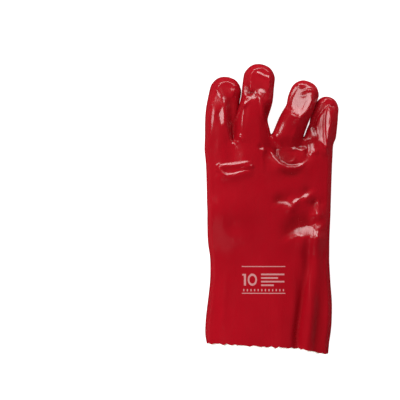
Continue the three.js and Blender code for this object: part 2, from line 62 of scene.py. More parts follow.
# The folds of the back, each a line seen from above, in millimetres. Every point is (x, y, height), a minus height
# is a crease. The two widths are how far the fold reaches to the left and to the right of the line's direction.
FOLDS = {
    "index_inner_hollow": ([(-42.0, 112.0, 0), (-39.5, 99.0, -2.2), (-38.5, 84.0, -3.2), (-36.6, 70.0, -2.2),
        (-34.5, 62.0, 0)], 2.8, 3.4),
    "index_spot": ([(-61.0, 98.0, 0), (-58.8, 99.8, 0.9), (-56.5, 98.5, 0)], 2.0, 2.6),
    "index_inner_crest": ([(-41.5, 106.0, 0), (-38.5, 110.5, 0.9), (-35.5, 107.0, 0)], 3.0, 3.0),
    "crotch_left": ([(-36.5, 68.0, 0), (-33.5, 69.0, 1.0), (-29.0, 66.0, 1.1), (-27.0, 63.0, 0)], 1.6, 1.8),
    "crotch_right": ([(-37.5, 61.5, 0), (-34.5, 63.0, 0.8), (-31.5, 64.5, 0)], 1.2, 1.4),
    "middle_tip_line": ([(-16.0, 129.0, 0), (-12.5, 128.0, 0.9), (-8.0, 125.6, 0.6), (-3.6, 123.8, 0.7),
        (0.2, 119.0, 0)], 1.3, 1.5),
    "middle_side_crest": ([(-13.5, 110.0, 0), (-11.8, 107.0, 0.9), (-10.1, 96.1, 1.2), (-9.0, 87.9, 1.2),
        (-4.9, 78.9, 0)], 3.4, 1.5),
    "middle_side_hollow": ([(-6.0, 99.0, 0), (-4.6, 94.2, -2.0), (-3.0, 86.6, -2.2), (-1.0, 78.9, 0)], 2.8, 3.4),
    "middle_side_swell": ([(-7.9, 104.7, 0), (-4.1, 101.8, 1.1), (-0.7, 100.9, 0)], 2.6, 2.6),
    "middle_spots": ([(-14.0, 112.0, 0), (-10.0, 110.8, 0.7), (-6.5, 106.5, 0)], 1.2, 1.4),
    "middle_root_vertical": ([(-9.6, 59.0, 0), (-10.2, 50.0, 0.6), (-9.3, 42.0, 0.8), (-9.3, 33.0, 0)], 1.6, 1.6),
    "ring_bend": ([(15.0, 94.2, 0), (18.8, 88.9, 0.5), (22.6, 85.1, 0.8), (25.3, 83.2, 0.9), (28.8, 87.5, 0.8),
        (34.6, 95.1, 0.6), (38.4, 100.9, 0)], 2.4, 1.6),
    "ring_tip_arc": ([(27.0, 111.0, 0), (31.5, 112.6, 0.8), (37.5, 112.4, 0.9), (41.0, 110.0, 0)], 1.3, 1.5),
    "ring_streak_left": ([(22.6, 107.5, 0), (22.0, 99.9, 0.45), (23.6, 92.3, 0.5), (25.0, 85.6, 0)], 0.9, 0.9),
    "ring_streak_right": ([(33.1, 102.8, 0), (30.7, 98.0, 0.45), (27.9, 92.3, 0.5), (26.0, 86.6, 0)], 0.9, 0.9),
    "ring_inner_arc": ([(5.5, 54.1, 0), (7.4, 48.4, 0.6), (11.2, 44.0, 0.8), (16.4, 43.2, 0.8), (20.6, 46.2, 0.7),
        (22.5, 52.2, 0)], 1.0, 1.2),
    "ring_outer_arc": ([(-5.5, 57.9, 0), (-1.9, 54.1, 0.9), (3.1, 47.9, 1.0), (9.5, 41.7, 1.0), (16.0, 39.2, 1.1),
        (23.5, 39.4, 1.1), (29.4, 42.1, 0.9), (33.4, 47.4, 0)], 1.1, 1.8),
    "ring_arc_shadow": ([(4.0, 37.4, 0), (12.6, 34.6, -1.5), (22.2, 34.3, -1.6), (30.7, 36.5, 0)], 2.4, 4.2),
    "ring_side_crease": ([(0.5, 73.0, 0), (3.0, 69.0, 0.9), (6.6, 63.5, 1.1), (9.0, 57.0, 0)], 1.2, 1.5),
    "ring_centre_line": ([(24.0, 82.0, 0), (21.5, 74.0, 0.5), (18.5, 66.0, 0.5), (17.8, 60.0, 0)], 1.6, 1.6),
    "little_streak": ([(53.2, 99.9, 0), (50.8, 92.3, 0.35), (49.4, 82.7, 0.5), (49.6, 69.4, 0.5), (51.2, 54.1, 0)],
        1.1, 1.3),
    "palm_right_fold": ([(18.5, 2.5, 0), (22.0, 6.4, 0.9), (28.0, 10.4, 0.8), (31.5, 12.0, 0.4), (36.0, 13.6, 0)],
        1.6, 3.0),
    "palm_short_fold": ([(43.6, 8.5, 0), (43.2, 4.5, 1.2), (42.6, -2.0, 1.0), (43.0, -8.0, 0)], 1.6, 2.0),
    "long_crest": ([(43.0, -8.0, 0), (41.0, -22.0, 0.9), (38.2, -36.0, 1.2), (36.0, -63.0, 1.5), (31.5, -92.0, 1.9),
        (28.3, -112.0, 2.2), (26.5, -140.0, 2.0)], 7.5, 2.4),
    "long_valley": ([(34.0, -40.0, 0), (30.5, -66.0, -1.0), (25.5, -96.0, -2.1), (22.5, -118.0, -2.4),
        (20.5, -140.0, -2.2)], 5.5, 3.4),
    "outer_valley": ([(46.0, -66.0, 0), (45.0, -92.0, -1.7), (42.0, -116.0, -2.0), (41.0, -134.0, -1.2)], 6.0, 5.0),
    "left_slope": ([(-63.5, 14.0, 0), (-53.0, 3.0, 1.4), (-45.0, -6.0, 1.2), (-38.0, -14.0, 0)], 5.0, 9.0),
    "left_cuff_fold": ([(-42.0, -52.0, 0), (-45.5, -76.0, 0.9), (-47.0, -98.0, 1.1), (-48.0, -116.0, 0)], 5.0, 3.4),
    "middle_cuff_swell": ([(3.0, -78.0, 0), (6.0, -98.0, 1.3), (8.0, -120.0, 1.3), (8.0, -140.0, 0.9)], 9.0, 7.0),
    "index_root_line": ([(-51.0, 66.0, 0), (-51.6, 58.0, 0.5), (-51.0, 48.0, 0)], 1.8, 1.8),
    "middle_centre_line": ([(-12.6, 86.0, 0), (-12.8, 72.0, 0.45), (-12.4, 60.0, 0)], 1.8, 1.8),
    "middle_left_shoulder": ([(-29.0, 104.0, 0), (-27.6, 98.0, 0.8), (-28.4, 88.0, 1.0), (-29.2, 78.0, 0.8),
        (-29.6, 70.0, 0)], 1.8, 4.5),
    "knuckle_upper": ([(-53.7, 38.9, 0), (-49.4, 40.0, 1.7), (-37.0, 41.1, 1.6), (-25.5, 42.9, 1.8),
        (-18.4, 43.6, 0)], 1.7, 2.8),
    "knuckle_lower": ([(-50.4, 35.0, 0), (-46.1, 31.7, 2.1), (-38.0, 31.4, 1.9), (-30.3, 33.5, 1.8),
        (-23.6, 35.0, 1.8), (-17.9, 35.5, 0)], 1.8, 5.0),
    "knuckle_left_end": ([(-52.7, 37.9, 0), (-50.2, 36.5, 1.7), (-47.0, 33.9, 1.7), (-44.6, 30.7, 0)], 1.7, 1.8),
    "little_streak_left": ([(49.8, 94.2, 0), (46.5, 86.6, 0.25), (45.4, 77.0, 0.3), (47.0, 67.5, 0)], 0.9, 0.9),
    "wrist_pleat_1": ([(22.6, -15.0, 0), (22.9, -19.8, 0.42), (22.4, -24.6, 0.4), (22.6, -29.4, 0)], 0.95, 0.95),
    "wrist_pleat_2": ([(26.0, -16.0, 0), (26.3, -19.8, 0.54), (25.8, -24.6, 0.4), (26.0, -29.4, 0)], 0.95, 0.95),
    "wrist_pleat_3": ([(29.6, -17.0, 0), (29.9, -19.8, 0.42), (29.4, -24.6, 0.4), (29.6, -29.4, 0)], 0.95, 0.95),
    "wrist_pleat_4": ([(32.6, -15.0, 0), (32.9, -19.8, 0.54), (32.5, -24.6, 0.4), (32.6, -29.4, 0)], 0.95, 0.95),
    "wrist_pleat_5": ([(36.1, -16.0, 0), (36.4, -19.8, 0.42), (35.9, -24.6, 0.4), (36.1, -29.4, 0)], 0.95, 0.95),
    "wrist_pleat_6": ([(38.9, -17.0, 0), (39.2, -19.8, 0.54), (38.8, -24.6, 0.4), (38.9, -29.4, 0)], 0.95, 0.95),
    "ring_lens": ([(26.4, 105.6, 0), (28.4, 107.1, -0.7), (31.2, 107.5, -0.7), (33.1, 106.6, 0)], 1.7, 1.7),
    "index_crest_upper": ([(-50.2, 115.2, 0), (-48.1, 106.6, 0.8), (-46.7, 98.0, 0)], 2.4, 2.0),
    "index_crest_lower": ([(-44.4, 81.8, 0), (-42.2, 72.2, 0.9), (-39.3, 61.8, 0.9), (-36.0, 57.9, 0)], 2.2, 1.8),
    "knuckle_right_end": ([(-29.8, 38.1, 0), (-25.1, 39.6, 1.7), (-19.8, 40.0, 1.7), (-17.0, 39.8, 0)], 1.5, 2.0),
}

# Broad rises and hollows of the back, in millimetres. Each is (x, y, turn in degrees, reach along, reach across,
# height).
SWELLS = {
    "index_inner_side": (-37.5, 92.0, 88.0, 22.0, 5.5, -1.6),
    "middle_outer_side": (-3.5, 90.0, 80.0, 13.0, 5.5, -1.8),
    "ring_knuckle": (23.6, 86.6, 76.0, 9.0, 10.0, 3.6),
    "ring_end": (29.0, 104.0, 70.0, 10.0, 11.0, -2.6),
    "little_slope": (50.0, 78.0, 82.0, 20.0, 14.0, -1.5),
    "little_left_face": (42.0, 84.0, 70.0, 17.0, 6.0, -3.2),
    "little_crest": (50.0, 72.0, 88.0, 20.0, 4.5, 2.4),
    "knuckle_fill": (-37.2, 51.5, 90.0, 12.0, 5.0, 1.6),
}

# Flat faces between the folds, in millimetres. Each is (corners in order against the clock, lean to the right and away
# from the cuff in degrees, rise, how far round it the back gives way). They come after the swells, before the folds.
FACES = {
    "index_crest_face": ([(-46.2, 99.0), (-50.7, 89.4), (-49.1, 81.3), (-45.2, 80.4)], (-18, 12.2), 0.0, 2.4),
    "index_inner_face": ([(-41.0, 115.2), (-41.0, 108.5), (-38.3, 108.5), (-38.3, 115.2)], (6, 29), 0.0, 2.2),
    "middle_left_face": ([(-26.0, 120.9), (-28.4, 109.5), (-22.2, 110.4)], (-13, 28.5), 0.0, 3.0),
    "middle_cross_face": ([(-18.6, 109.5), (-28.9, 99.1), (-27.2, 97.1), (-16.7, 107.6)], (-12, 30), 0.3, 1.8),
    "little_face": ([(54.2, 99.9), (43.6, 86.6), (40.8, 77.0), (43.1, 65.6), (51.2, 54.1), (54.2, 74.2),
        (55.9, 92.3)], (-22.2, 12.6), 0.0, 2.2),
    "little_root_face": ([(34.6, 61.8), (37.9, 53.2), (41.8, 54.1), (37.9, 62.7)], (-21.5, 13), 0.0, 2.2),
    "ring_left_spot": ([(-11.0, 57.9), (-11.0, 55.3), (-8.8, 55.3), (-8.8, 57.9)], (0, 32), 0.0, 3.0),
    "palm_left_face": ([(7.2, 8.3), (9.3, 4.0), (16.4, 0.7), (19.3, 3.7), (12.6, 8.0)], (-1, 31), 0.9, 6.0),
    "palm_right_face": ([(28.4, 12.6), (31.2, 9.5), (35.1, 12.6), (32.6, 16.0)], (-1, 31), 0.7, 5.0),
    "palm_short_face": ([(41.0, 5.5), (41.4, -5.5), (44.1, -5.5), (44.1, 5.5)], (-16, 26), 0.6, 5.0),
    "wrist_face": ([(24.1, -16.5), (18.8, -20.3), (22.2, -25.5), (29.8, -27.3), (40.8, -26.5), (42.2, -20.3),
        (38.4, -16.0)], (-1, 32), 1.1, 10.0),
    "index_tip_face": ([(-50.4, 105.6), (-43.7, 103.7), (-37.0, 105.6), (-34.6, 111.4), (-35.1, 117.1),
        (-38.0, 119.9), (-43.7, 120.9), (-48.4, 119.5), (-52.3, 116.6), (-54.2, 112.3)], (2, 16), 1.7, 4.0),
    "middle_tip_face": ([(-2.7, 111.4), (-1.2, 122.8), (-2.7, 130.4), (-6.5, 134.3), (-12.2, 134.7), (-17.0, 132.3),
        (-20.8, 128.5), (-22.2, 120.9), (-21.7, 111.4)], (3, 15), 1.6, 3.5),
    "little_tip_face": ([(54.6, 98.0), (58.4, 98.0), (58.4, 103.3), (55.5, 105.2), (51.7, 104.7), (48.9, 101.8)],
        (4, 15), 1.2, 3.2),
    "ring_face": ([(25.0, 83.7), (37.9, 101.8), (37.4, 107.5), (31.7, 115.2), (24.1, 114.7), (18.8, 105.6),
        (16.4, 96.1)], (-0.4, 31), -0.3, 2.4),
    "ring_root_face": ([(4.0, 56.0), (4.0, 51.3), (7.8, 46.0), (13.6, 42.9), (21.2, 42.7), (26.9, 45.5),
        (29.8, 50.3), (29.8, 56.0)], (-1, 14), -0.6, 2.4),
}


# Settings that a user would change

COLOUR = {"subtype": "COLOR", "size": 3, "min": 0, "max": 1}


class GloveCoatSettings(bpy.types.PropertyGroup):
    colour: bpy.props.FloatVectorProperty(
        name="Coat colour", description="Colour of the dipped coat", default=(0.38, 0.0034, 0.0108), **COLOUR)
    # Deeper red for the coat's random mottle, and painted shade darkening its creases
    mottle_and_crease_shade_colour: bpy.props.FloatVectorProperty(
        name="Deep colour", description="Colour where the coat pooled thicker", default=(0.29, 0.0022, 0.0070),
        **COLOUR)
    gloss: bpy.props.FloatProperty(
        name="Roughness", description="Roughness of the coat, low is glossy", subtype="FACTOR", min=0, max=1,
        default=0.2)
    fold_height: bpy.props.FloatProperty(
        name="Fold height", description="Share of the folds' full height", subtype="FACTOR", min=0, max=2,
        default=1.0)
    fine_levels: bpy.props.IntProperty(
        name="Outer levels", description="How often the outer skin is divided", min=1, max=3, default=3)
    coarse_levels: bpy.props.IntProperty(
        name="Inner levels", description="How often the inner skin is divided", min=1, max=3, default=2)
    underside_share: bpy.props.FloatProperty(
        name="Underside share", description="Share of the faces that the underside keeps", subtype="FACTOR",
        min=0.1, max=1, default=0.45)
    mark_colour: bpy.props.FloatVectorProperty(
        name="Mark colour", description="Colour of the printed size mark", default=(0.57, 0.26, 0.26), **COLOUR)


class GloveLiningSettings(bpy.types.PropertyGroup):
    colour: bpy.props.FloatVectorProperty(
        name="Yarn colour", description="Colour of the raw cotton yarn", default=(0.70, 0.66, 0.55), **COLOUR)
    wale: bpy.props.FloatProperty(
        name="Wale pitch", description="Distance between two columns of knitted loops", unit="LENGTH", min=0.0005,
        max=0.005, default=0.0013)
    course: bpy.props.FloatProperty(
        name="Course pitch", description="Distance between two rows of knitted loops", unit="LENGTH", min=0.0005,
        max=0.005, default=0.0011)
    levels: bpy.props.IntProperty(
        name="Levels", description="How often the lining's skins are divided", min=1, max=3, default=2)


class GloveEdgeSettings(bpy.types.PropertyGroup):
    count: bpy.props.IntProperty(
        name="Loops", description="Number of cut yarn loops round the opening", min=20, max=600, default=300)
    reach: bpy.props.FloatProperty(
        name="Reach", description="How far a cut loop stands out of the edge", unit="LENGTH", min=0.0002, max=0.003,
        default=0.0009)
    thickness: bpy.props.FloatProperty(
        name="Yarn thickness", description="Thickness of the yarn", unit="LENGTH", min=0.0001, max=0.001,
        default=0.0005)
    seed: bpy.props.IntProperty(name="Seed", description="Seed of the loops' small turns", min=0, default=7)


class GloveStageSettings(bpy.types.PropertyGroup):
    floor_size: bpy.props.FloatProperty(
        name="Floor size", description="Length of the floor's side", unit="LENGTH", min=1, max=20, default=8.0)
    camera_height: bpy.props.FloatProperty(
        name="Camera height", description="Height of the camera above the floor", unit="LENGTH", min=0.5, max=5,
        default=1.25)
    view_width: bpy.props.FloatProperty(
        name="View width", description="Width that the camera sees at half the glove's height", unit="LENGTH",
        min=0.1, max=2, default=0.3816)
    view_centre: bpy.props.FloatVectorProperty(
        name="View centre", description="Point of the floor that the camera looks down on", subtype="XYZ",
        unit="LENGTH", size=2, default=(-0.0685, 0.0083))
    key_radiance: bpy.props.FloatProperty(
        name="Key light", description="Brightness of the wide light beyond the fingertips", min=0, max=50,
        default=9.2)
    left_radiance: bpy.props.FloatProperty(
        name="Left light", description="Brightness of the small light at the upper left", min=0, max=50,
        default=9.6)
    fill_radiance: bpy.props.FloatProperty(
        name="Fill light", description="Brightness of the soft light beside the cuff, which makes no highlights",
        min=0, max=50, default=7.6)
    room_light: bpy.props.FloatProperty(
        name="Room light", description="Strength of the even light from all round", min=0, max=5, default=0.22)


# Shader maths

def new_node(tree, kind, settings=None, inputs=None):
    """A new node in a tree. Its settings come first, then the value or the link of each of its sockets."""
    node = tree.nodes.new(kind)
    for name, value in (settings or {}).items():
        setattr(node, name, value)
    for name, value in (inputs or {}).items():
        value = value.socket if isinstance(value, Value) else value
        if isinstance(value, bpy.types.NodeSocket):
            tree.links.new(value, node.inputs[name])
        else:
            node.inputs[name].default_value = value
    return node


class Value:
    """One socket of a material. Sums written with it add the Math nodes that they need."""

    def __init__(self, finish, socket):
        self.finish = finish
        self.socket = socket

    def maths(self, operation, *terms, clamp=False):
        settings = {"operation": operation, "use_clamp": clamp}
        return self.finish.value("ShaderNodeMath", 0, settings, dict(enumerate(terms)))

    def __add__(self, other):
        return self.maths("ADD", self, other)

    def __radd__(self, other):
        return self.maths("ADD", other, self)

    def __sub__(self, other):
        return self.maths("SUBTRACT", self, other)

    def __rsub__(self, other):
        return self.maths("SUBTRACT", other, self)

    def __mul__(self, other):
        return self.maths("MULTIPLY", self, other)

    def __rmul__(self, other):
        return self.maths("MULTIPLY", other, self)

    def __truediv__(self, other):
        return self.maths("DIVIDE", self, other)

    def __rtruediv__(self, other):
        return self.maths("DIVIDE", other, self)

    def __pow__(self, other):
        return self.maths("POWER", self, other)

    def __rpow__(self, other):
        return self.maths("POWER", other, self)

    def __abs__(self):
        return self.maths("ABSOLUTE", self)

    def sine(self):
        return self.maths("SINE", self)

    def part(self):
        """How far each value lies past the whole number below it, from 0 to 1."""
        return self.maths("FRACT", self)

    def root(self):
        return self.maths("SQRT", self)

    def least(self, other):
        return self.maths("MINIMUM", self, other)

    def most(self, other):
        return self.maths("MAXIMUM", self, other)

    def clamped(self):
        return self.maths("ADD", self, 0.0, clamp=True)

    def between(self, low, high):
        """0 below low, 1 above high, and even between them."""
        return ((self - low) * (1.0 / (high - low))).clamped()


class Finish:
    """A new material and the ways to add nodes to it."""

    def __init__(self, name):
        self.material = bpy.data.materials.new(name)
        self.material.use_nodes = True
        self.tree = self.material.node_tree
        self.tree.nodes.clear()
        self.end = self.tree.nodes.new("ShaderNodeOutputMaterial")

    def node(self, kind, settings=None, inputs=None):
        return new_node(self.tree, kind, settings, inputs)

    def value(self, kind, output, settings=None, inputs=None):
        return Value(self, self.node(kind, settings, inputs).outputs[output])

    def place(self):
        """Object coordinates, in metres."""
        return self.value("ShaderNodeTexCoord", "Object")

    def x_and_y(self, vector):
        """The first two numbers of a vector."""
        parts = self.node("ShaderNodeSeparateXYZ", inputs={0: vector})
        return Value(self, parts.outputs["X"]), Value(self, parts.outputs["Y"])

    def stretched(self, vector, scale, turn=0.0):
        """A place turned round the upright axis and stretched along each axis, for a pattern with a direction."""
        inputs = {"Vector": vector, "Scale": scale, "Rotation": (0.0, 0.0, turn)}
        return self.value("ShaderNodeMapping", 0, inputs=inputs)

    def noise(self, vector, scale, detail=2.0, rough=0.5, warp=0.0):
        inputs = {"Vector": vector, "Scale": scale, "Detail": detail, "Roughness": rough, "Distortion": warp}
        return self.value("ShaderNodeTexNoise", 0, inputs=inputs)

    def carried(self, name):
        """A number that the mesh carries at its points."""
        return self.value("ShaderNodeAttribute", "Fac", {"attribute_name": name})

    def mixed(self, share, first, second):
        """A colour between two. The Mix node's colours are its sockets 6 and 7, and its result is output 2."""
        return self.value("ShaderNodeMix", 2, {"data_type": "RGBA"}, {0: share, 6: first, 7: second})

    def raised(self, height, distance, strength):
        """A surface that is raised by a height from 0 to 1, which stands for the distance."""
        return self.value("ShaderNodeBump", 0, inputs={"Height": height, "Distance": distance, "Strength": strength})

    def surface(self, **inputs):
        """Ends the material in the usual shader, with these inputs, and gives the material."""
        named = {name.replace("_", " "): value for name, value in inputs.items()}
        shader = self.node("ShaderNodeBsdfPrincipled", inputs=named)
        self.tree.links.new(shader.outputs[0], self.end.inputs["Surface"])
        return self.material


def opaque(colour):
    """Three shares of colour as the four that a socket takes."""
    return (*colour, 1.0)


def size_mark(x, y):
    """A plain printed mark for the size: a number, even bars, two lines and a row of ticks.

    Everything is in millimetres round the mark's middle, which lies left of the glove's middle, near the cuff.
    """
    left, down, blur, pitch, tick = 8.5, 66.5, 0.22, 3.4, 1.1
    u = x * (1 / MM) + left
    v = y * (1 / MM) + down

    def inside(distance):
        return (distance * (1.0 / blur) + 0.5).clamped()

    def bar(middle_u, middle_v, width, height):
        across = width / 2 - abs(u - middle_u)
        along = height / 2 - abs(v - middle_v)
        return inside(across.least(along))

    def loop(middle_u, middle_v, wide, high, thick):
        share = (((u - middle_u) * (1 / wide)) ** 2.0 + ((v - middle_v) * (1 / high)) ** 2.0).root()
        return inside(thick / 2 - abs(share - 1.0) * (wide + high) / 2)

    parts = [
        bar(-17.6, -0.4, 1.9, 11.0), bar(-18.9, 4.2, 2.2, 1.6),
        loop(-10.6, -0.4, 3.6, 4.7, 1.8),
        bar(8.6, 4.6, 22.0, 1.5), bar(5.6, 1.2, 16.0, 1.5),
        bar(8.6, -2.2, 22.0, 1.5), bar(3.6, -5.6, 12.0, 1.5),
        bar(0.0, 12.0, 41.0, 0.8), bar(0.0, -13.2, 41.0, 0.8),
    ]
    from_tick = abs((u * (1 / pitch)).part() - 0.5) * pitch
    mark = inside(tick / 2 - from_tick).least(bar(0.0, -10.2, 40.0, 2.0))
    for part in parts:
        mark = mark.most(part)
    return mark


def coat_finish(settings):
    """Glossy dipped plastic: a deeper red in random clouds and flecks, and painted shade darkening the creases, with
    the knit's ribs showing through and soft swirls.
    """
    f = Finish("dipped_coat")
    vector = f.place()
    x, y = f.x_and_y(vector)
    top, crease = f.carried("top"), f.carried("crease")
    cloud = f.noise(vector, scale=17.0, detail=3.0, rough=0.55)
    fleck = f.noise(vector, scale=260.0, rough=0.6)
    ribs = f.noise(f.stretched(vector, (430.0, 26.0, 90.0), turn=0.06), scale=1.0, warp=0.4)
    fine = f.noise(f.stretched(vector, (900.0, 520.0, 900.0)), scale=1.0, detail=1.0)
    swirl = f.noise(f.stretched(vector, (110.0, 40.0, 110.0)), scale=1.0, warp=0.8)
    # The deep red comes at random in clouds and flecks, and as painted shade where the folds sink into creases
    mottle_and_crease_shade = (cloud.between(0.35, 0.68) * 0.6 + crease * 0.9 + (fleck - 0.5) * 0.25).clamped()
    red = f.mixed(mottle_and_crease_shade, opaque(settings.colour), opaque(settings.mottle_and_crease_shade_colour))
    worn = f.noise(vector, scale=900.0, rough=0.7).between(0.28, 0.46)
    mark = (size_mark(x, y) * top * (0.55 + worn * 0.4)).clamped()
    colour = f.mixed(mark, red, opaque(settings.mark_colour))
    gloss = settings.gloss + (swirl - 0.5) * 0.16 + (fleck - 0.5) * 0.08 + crease * 0.06 + mark * 0.22
    normal = f.raised(ribs * 0.55 + swirl * 0.9 + fine * 0.05, distance=0.22 * MM, strength=0.8)
    return f.surface(Base_Color=colour, Roughness=gloss.clamped(), Normal=normal, IOR=1.5)


def cotton_finish(settings, name, knitted=True):
    """Raw cotton: knitted columns and rows with fuzz, or plain yarn."""
    f = Finish(name)
    vector = f.place()
    fuzz = f.noise(vector, scale=1500.0, detail=3.0, rough=0.7)
    cloud = f.noise(vector, scale=60.0)
    if knitted:
        x, y = f.x_and_y(vector)
        wobble = (f.noise(vector, scale=45.0, detail=1.0) - 0.5) * (1.6 * MM)
        columns = abs(((x + wobble) * (math.pi / settings.wale)).sine())
        rows = abs(((y + columns * (0.5 * MM)) * (math.pi / settings.course)).sine())
        shade = (1.0 - columns * rows) * 0.5 + (cloud - 0.5) * 0.5
        normal = f.raised(columns * 0.7 + rows * 0.5 + fuzz * 0.35, distance=0.3 * MM, strength=0.9)
    else:
        shade = (fuzz - 0.4) * 0.9 + (cloud - 0.5) * 0.4
        normal = f.raised(fuzz, distance=0.1 * MM, strength=0.7)
    shadow = tuple(c * 0.62 for c in settings.colour)
    colour = f.mixed(shade.clamped(), opaque(settings.colour), opaque(shadow))
    rough = (0.86 + fuzz * 0.1).clamped()
    return f.surface(Base_Color=colour, Roughness=rough, Normal=normal, Sheen_Weight=0.25, Sheen_Roughness=0.5)


# Skins of a wall

def array_of(mesh):
    """A mesh's points as rows of x, y and z."""
    points = np.empty(len(mesh.vertices) * 3)
    mesh.vertices.foreach_get("co", points)
    return points.reshape(-1, 3)


def evaluated_mesh(thing):
    """A plain mesh of a linked object as its modifiers leave it."""
    bpy.context.view_layer.update()
    return bpy.data.meshes.new_from_object(thing.evaluated_get(bpy.context.evaluated_depsgraph_get()))


def islands(items, neighbours):
    """The items in groups that hold together, where neighbours gives what an item is joined to."""
    seen, groups = set(), []
    for start in items:
        if start in seen:
            continue
        seen.add(start)
        group, queue = [start], [start]
        while queue:
            for other in neighbours(queue.pop()):
                if other not in seen:
                    seen.add(other)
                    group.append(other)
                    queue.append(other)
        groups.append(group)
    return groups


def cages_of(node):
    """The two skins of a CAD wall as cages of quads, outer skin first. The faces of the cut edge are left out."""
    same_place, cuff_band, edge_angle, flat_angle = 1e-6, 12 * MM, math.radians(55), math.radians(80)
    work = bmesh.new()
    work.from_mesh(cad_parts[node].data)
    bmesh.ops.remove_doubles(work, verts=work.verts, dist=same_place)
    cuff = min(v.co.y for v in work.verts) + cuff_band
    folded = {e for e in work.edges if max(v.co.y for v in e.verts) < cuff and e.calc_face_angle() > edge_angle}
    groups = islands(work.faces, lambda face: [f for e in face.edges if e not in folded for f in e.link_faces])
    groups.sort(key=len)
    if len(groups) < 3 or len(groups[-2]) != len(groups[-1]):
        raise RuntimeError(f"{node} has no two skins joined by a cut edge")
    bmesh.ops.delete(work, geom=[face for group in groups[:-2] for face in group], context="FACES")
    limits = {"angle_face_threshold": flat_angle, "angle_shape_threshold": flat_angle}
    bmesh.ops.join_triangles(work, faces=work.faces, **limits)
    cages = []
    bound = [v for v in work.verts if v.link_faces]
    for members in islands(bound, lambda vertex: [v for e in vertex.link_edges for v in e.verts]):
        number = {v: i for i, v in enumerate(members)}
        faces = [[number[v] for v in face.verts] for face in work.faces if face.verts[0] in number]
        points = np.array([v.co for v in members])
        rim = open_rim(points, faces)
        level = points[rim, 1]
        points[rim, 1] = (np.roll(level, 1) + 2 * level + np.roll(level, -1)) / 4
        cages.append((points, faces))
    work.free()
    cages.sort(key=lambda cage: -np.ptp(cage[0], axis=0).prod())
    return cages


def rounded_skin(cage, levels, passes=4, pull=0.9):
    """A cage divided into a smooth skin that still runs through the cage's own points. Returns points and quads.

    Dividing draws a skin inwards, so each pass moves the cage outwards by a share, pull, of what is missing.
    """
    target, faces = cage
    mesh = bpy.data.meshes.new("cage")
    mesh.from_pydata(target.tolist(), [], faces)
    thing = bpy.data.objects.new("cage", mesh)
    bpy.context.scene.collection.objects.link(thing)
    divide = thing.modifiers.new("divide", "SUBSURF")
    place = target.copy()

    def divided(level):
        divide.levels = divide.render_levels = level
        mesh.vertices.foreach_set("co", place.ravel())
        mesh.update()
        thing.update_tag()
        result = evaluated_mesh(thing)
        points = array_of(result)
        corners = np.empty(len(result.loops), np.int32)
        result.loops.foreach_get("vertex_index", corners)
        bpy.data.meshes.remove(result)
        return points, corners.reshape(-1, 4)

    for _ in range(passes):
        points, _ = divided(1)
        place += (target - points[: len(target)]) * pull
    points, quads = divided(levels)
    bpy.data.objects.remove(thing)
    bpy.data.meshes.remove(mesh)
    return points, quads


def normals_of(points, quads):
    """The direction in which the skin faces at each point."""
    across = points[quads[:, 2]] - points[quads[:, 0]]
    along = points[quads[:, 3]] - points[quads[:, 1]]
    face = np.cross(across, along)
    total = np.zeros_like(points)
    for corner in range(4):
        np.add.at(total, quads[:, corner], face)
    return total / np.maximum(np.linalg.norm(total, axis=1, keepdims=True), 1e-12)


def softstep(value, low, high):
    """0 up to low, 1 from high on, with a soft start and end between them."""
    share = np.clip((value - low) / (high - low), 0, 1)
    return share * share * (3 - 2 * share)


def smooth_line(points, steps=5):
    """A line of (x, y, height) points, rounded through its points."""
    p = np.array([points[0], *points, points[-1]], float)
    out = []
    for i in range(1, len(p) - 2):
        a, b, c, d = p[i - 1 : i + 3]
        for t in np.arange(steps) / steps:
            bend = (2 * a - 5 * b + 4 * c - d) * t * t + (3 * b - a - 3 * c + d) * t**3
            out.append(0.5 * (2 * b + (c - a) * t + bend))
    out.append(p[-1])
    return np.array(out)


def near_box(flat, corners, reach):
    """Which points lie no further than a reach from the box round some corners."""
    return np.all((flat > corners.min(0) - reach) & (flat < corners.max(0) + reach), axis=1)


def foot_on(flat, start, end):
    """The place on a straight line that is nearest to each point, and its share of the way along the line."""
    run = end - start
    share = np.clip(((flat - start) @ run) / (run @ run), 0, 1)
    return start + share[:, None] * run, share


def add_swells(flat, lift):
    """Raises or sinks the back softly round each swell."""
    for x, y, turn, along, across, height in SWELLS.values():
        c, s = math.cos(math.radians(turn)), math.sin(math.radians(turn))
        dx, dy = flat[:, 0] - x, flat[:, 1] - y
        lift += height * np.exp(-(((dx * c + dy * s) / along) ** 2) - ((dy * c - dx * s) / across) ** 2)


def add_faces(flat, height, lift, upper, soft_edge=1.0, fade_end=2.4):
    """Presses the back flat within each face. Round it, the back follows by a share that fades over the reach."""
    for corners, (right, away), rise, reach in FACES.values():
        corners = np.array(corners)
        slope = -np.tan(np.radians((right, away)))
        close = np.flatnonzero(upper & near_box(flat, corners, fade_end * reach))
        spot = flat[close]
        inside = np.full(len(spot), np.inf)
        outside = np.full(len(spot), np.inf)
        nearest = spot.copy()
        for start, end in zip(corners, np.roll(corners, -1, axis=0)):
            run = end - start
            foot, _ = foot_on(spot, start, end)
            gap = np.linalg.norm(spot - foot, axis=1)
            past = (run[0] * (spot[:, 1] - start[1]) - run[1] * (spot[:, 0] - start[0])) / np.hypot(*run)
            inside = np.minimum(inside, past)
            nearer = gap < outside
            outside[nearer] = gap[nearer]
            nearest[nearer] = foot[nearer]
        core = inside > 0
        here = height[close] + lift[close]
        middle = spot[core].mean(0)
        from_middle = np.column_stack([spot - middle, np.ones(len(spot))])
        ground = np.linalg.lstsq(from_middle[core], here[core], rcond=None)[0]
        exact = ground[2] + rise + (spot - middle) @ slope - here
        nearest[core] = spot[core]
        even = rise + (nearest - middle) @ (slope - ground[:2])
        blend = softstep(inside, 0, soft_edge)
        fade = np.where(core, 1.0, np.exp(-((outside / reach) ** 2)))
        lift[close] += (exact * blend + even * (1 - blend)) * fade


